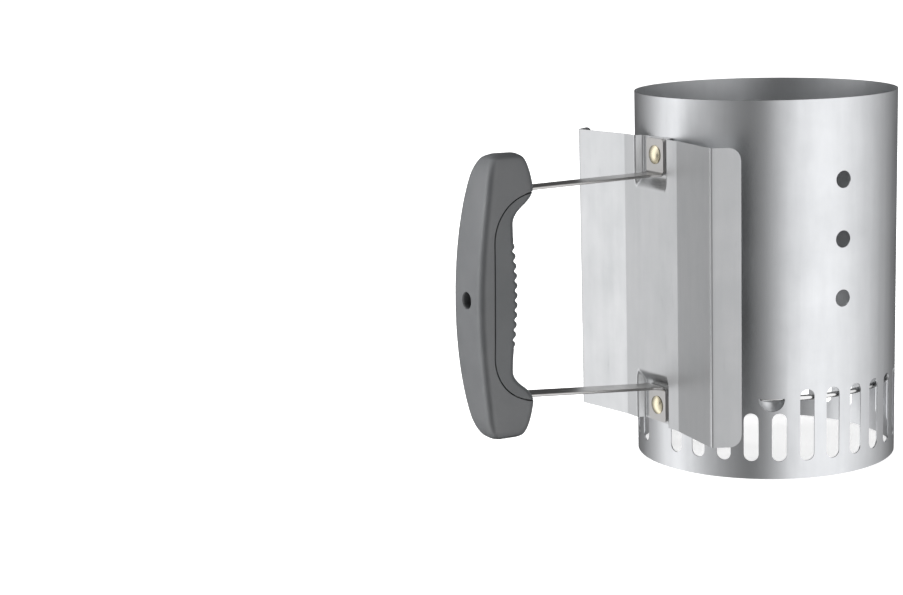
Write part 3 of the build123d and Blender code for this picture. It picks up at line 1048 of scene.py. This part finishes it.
def new_material(name, metallic, specular=0.5, coat=0.0):
    """Material with a Principled shader, set on its own sockets."""
    material = bpy.data.materials.new(name)
    material.use_nodes = True
    shader = material.node_tree.nodes["Principled BSDF"]
    shader.inputs["Metallic"].default_value = metallic
    shader.inputs["Specular IOR Level"].default_value = specular
    shader.inputs["Coat Weight"].default_value = coat
    shader.inputs["Coat Roughness"].default_value = coat_roughness
    return material, material.node_tree, shader


def place_group(tree, group, **values):
    """A copy of a shared group in a material, with its own input values."""
    node = tree.nodes.new("ShaderNodeGroup")
    node.node_tree = group
    for label, value in values.items():
        node.inputs[label.replace("_", " ")].default_value = value
    return node.outputs


def two_tones(tree, mask, dark, light):
    """Colour between two tones, chosen by a mask."""
    mix = tree.nodes.new("ShaderNodeMix")
    mix.data_type = "RGBA"
    link(tree, mask, mix.inputs[0])
    mix.inputs[6].default_value = (*dark, 1)
    mix.inputs[7].default_value = (*light, 1)
    return mix.outputs[2]


def bump(tree, shader, height, strength, distance):
    """Small relief on the shader's normal."""
    node = tree.nodes.new("ShaderNodeBump")
    node.inputs["Strength"].default_value = strength
    node.inputs["Distance"].default_value = distance
    link(tree, height, node.inputs["Height"])
    link(tree, node.outputs[0], shader.inputs["Normal"])


print("materials before the finishes:", len(bpy.data.materials))

# %% [markdown]
# ## Finishes
# The tube and the shield are aluminised sheet with a satin, faintly mottled face. The strap is a
# darker and smoother steel, and the wires are the brightest. The rivets have a warm zinc colour,
# and the screw is blackened. Plain metal with one roughness would look like a mirror or like paint,
# and the mottle breaks the reflections.

# %% Metal finishes
mottle_share = 0.6
tone_range = (0.35, 0.65)
gloss_swing = 0.03
scuff_roughness = 0.12
smudge_roughness = 0.03
sheet_relief = 0.00004
sheet_relief_strength = 0.25


def sheet_steel(name, dark, light, roughness, marks):
    """Satin sheet: mottle moves the tone and the roughness, grain gives the relief."""
    material, tree, shader = new_material(name, 1.0)
    grain = place_group(tree, sheet_grain)
    wear = place_group(tree, handling_marks, Amount=marks)
    tone = blend_of(tree, grain["Mottle"], grain["Streak"], mottle_share)
    mask = remap(tree, tone, *tone_range)
    link(tree, two_tones(tree, mask, dark, light), shader.inputs["Base Color"])
    gloss = remap(tree, tone, *tone_range, roughness + gloss_swing, roughness - gloss_swing)
    scuff = add_math(tree, "MULTIPLY", wear["Scuffs"], scuff_roughness)
    smudge = add_math(tree, "MULTIPLY", wear["Smudges"], smudge_roughness)
    dulled = add_math(tree, "ADD", add_math(tree, "ADD", gloss, scuff), smudge)
    link(tree, dulled, shader.inputs["Roughness"])
    bump(tree, shader, grain["Height"], sheet_relief_strength, sheet_relief)
    return material


tube_steel = sheet_steel("tube_steel", dark=(0.58, 0.59, 0.60), light=(0.64, 0.65, 0.66),
                         roughness=0.33, marks=1.0)
shield_steel = sheet_steel("shield_steel", dark=(0.53, 0.54, 0.545), light=(0.58, 0.585, 0.59),
                           roughness=0.36, marks=1.0)
strap_steel = sheet_steel("strap_steel", dark=(0.47, 0.465, 0.455), light=(0.54, 0.53, 0.52),
                          roughness=0.30, marks=1.4)
wire_steel = sheet_steel("wire_steel", dark=(0.62, 0.62, 0.62), light=(0.72, 0.72, 0.71),
                         roughness=0.20, marks=0.6)
rivet_zinc = sheet_steel("rivet_zinc", dark=(0.74, 0.66, 0.46), light=(0.86, 0.80, 0.62),
                         roughness=0.27, marks=0.8)
screw_black = sheet_steel("screw_black", dark=(0.02, 0.02, 0.022), light=(0.035, 0.035, 0.036),
                          roughness=0.40, marks=0.5)
metals = [tube_steel, shield_steel, strap_steel, wire_steel, rivet_zinc, screw_black]
print("metal finishes:", [metal.name for metal in metals])

# %% [markdown]
# ## Plastic finishes
# Glass-filled plastic is grey with a faint sheen. A metal shader can't show it, so this one has a
# thin rough coat over a dark base. The insert is a little duller and darker than the shell.

# %% Plastic finishes
plastic_specular = 0.8
plastic_coat = 0.25
plastic_tone_range = (0.3, 0.7)
plastic_shine = 0.05
plastic_relief = 0.00006
plastic_relief_strength = 0.35


def grip_plastic_finish(name, dark, light, roughness, grain_scale):
    """Grey moulded plastic: fine grain, and smudges that shine a little more."""
    material, tree, shader = new_material(name, 0.0, plastic_specular, plastic_coat)
    grain = place_group(tree, moulded_grain, Grain_Scale=grain_scale)
    wear = place_group(tree, handling_marks, Amount=1.0)
    mask = remap(tree, grain["Tone"], *plastic_tone_range)
    link(tree, two_tones(tree, mask, dark, light), shader.inputs["Base Color"])
    gloss = remap(tree, wear["Smudges"], 0.0, 1.0, roughness, roughness - plastic_shine)
    link(tree, gloss, shader.inputs["Roughness"])
    bump(tree, shader, grain["Height"], plastic_relief_strength, plastic_relief)
    return material


shell_tones = ((0.034, 0.036, 0.038), (0.044, 0.046, 0.048))
insert_tones = ((0.029, 0.032, 0.034), (0.037, 0.040, 0.042))
shell_plastic = grip_plastic_finish("grip_plastic", *shell_tones, roughness=0.40, grain_scale=2600.0)
insert_plastic = grip_plastic_finish("grip_insert", *insert_tones, roughness=0.50, grain_scale=3200.0)
print("plastic finishes:", shell_plastic.name, insert_plastic.name)

# %% [markdown]
# ## Finish of every piece
# The new pieces take their finish by variable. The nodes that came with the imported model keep
# their shape, and take theirs by name.

# %% Give every piece its finish
def paint(thing, material):
    """Puts one material on an object."""
    thing.data.materials.clear()
    thing.data.materials.append(material)


paint(shield, shield_steel)
paint(strap, strap_steel)
paint(shell, shell_plastic)
paint(insert, insert_plastic)
paint(welds, wire_steel)
for rivet in rivets:
    paint(rivet, rivet_zinc)
cad_finish = {"body_tube": tube_steel, "grip_screw": screw_black}
for name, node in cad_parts.items():
    if name.startswith("grate_"):
        paint(node, wire_steel)
    elif name in cad_finish:
        paint(node, cad_finish[name])
print("materials:", len(bpy.data.materials))
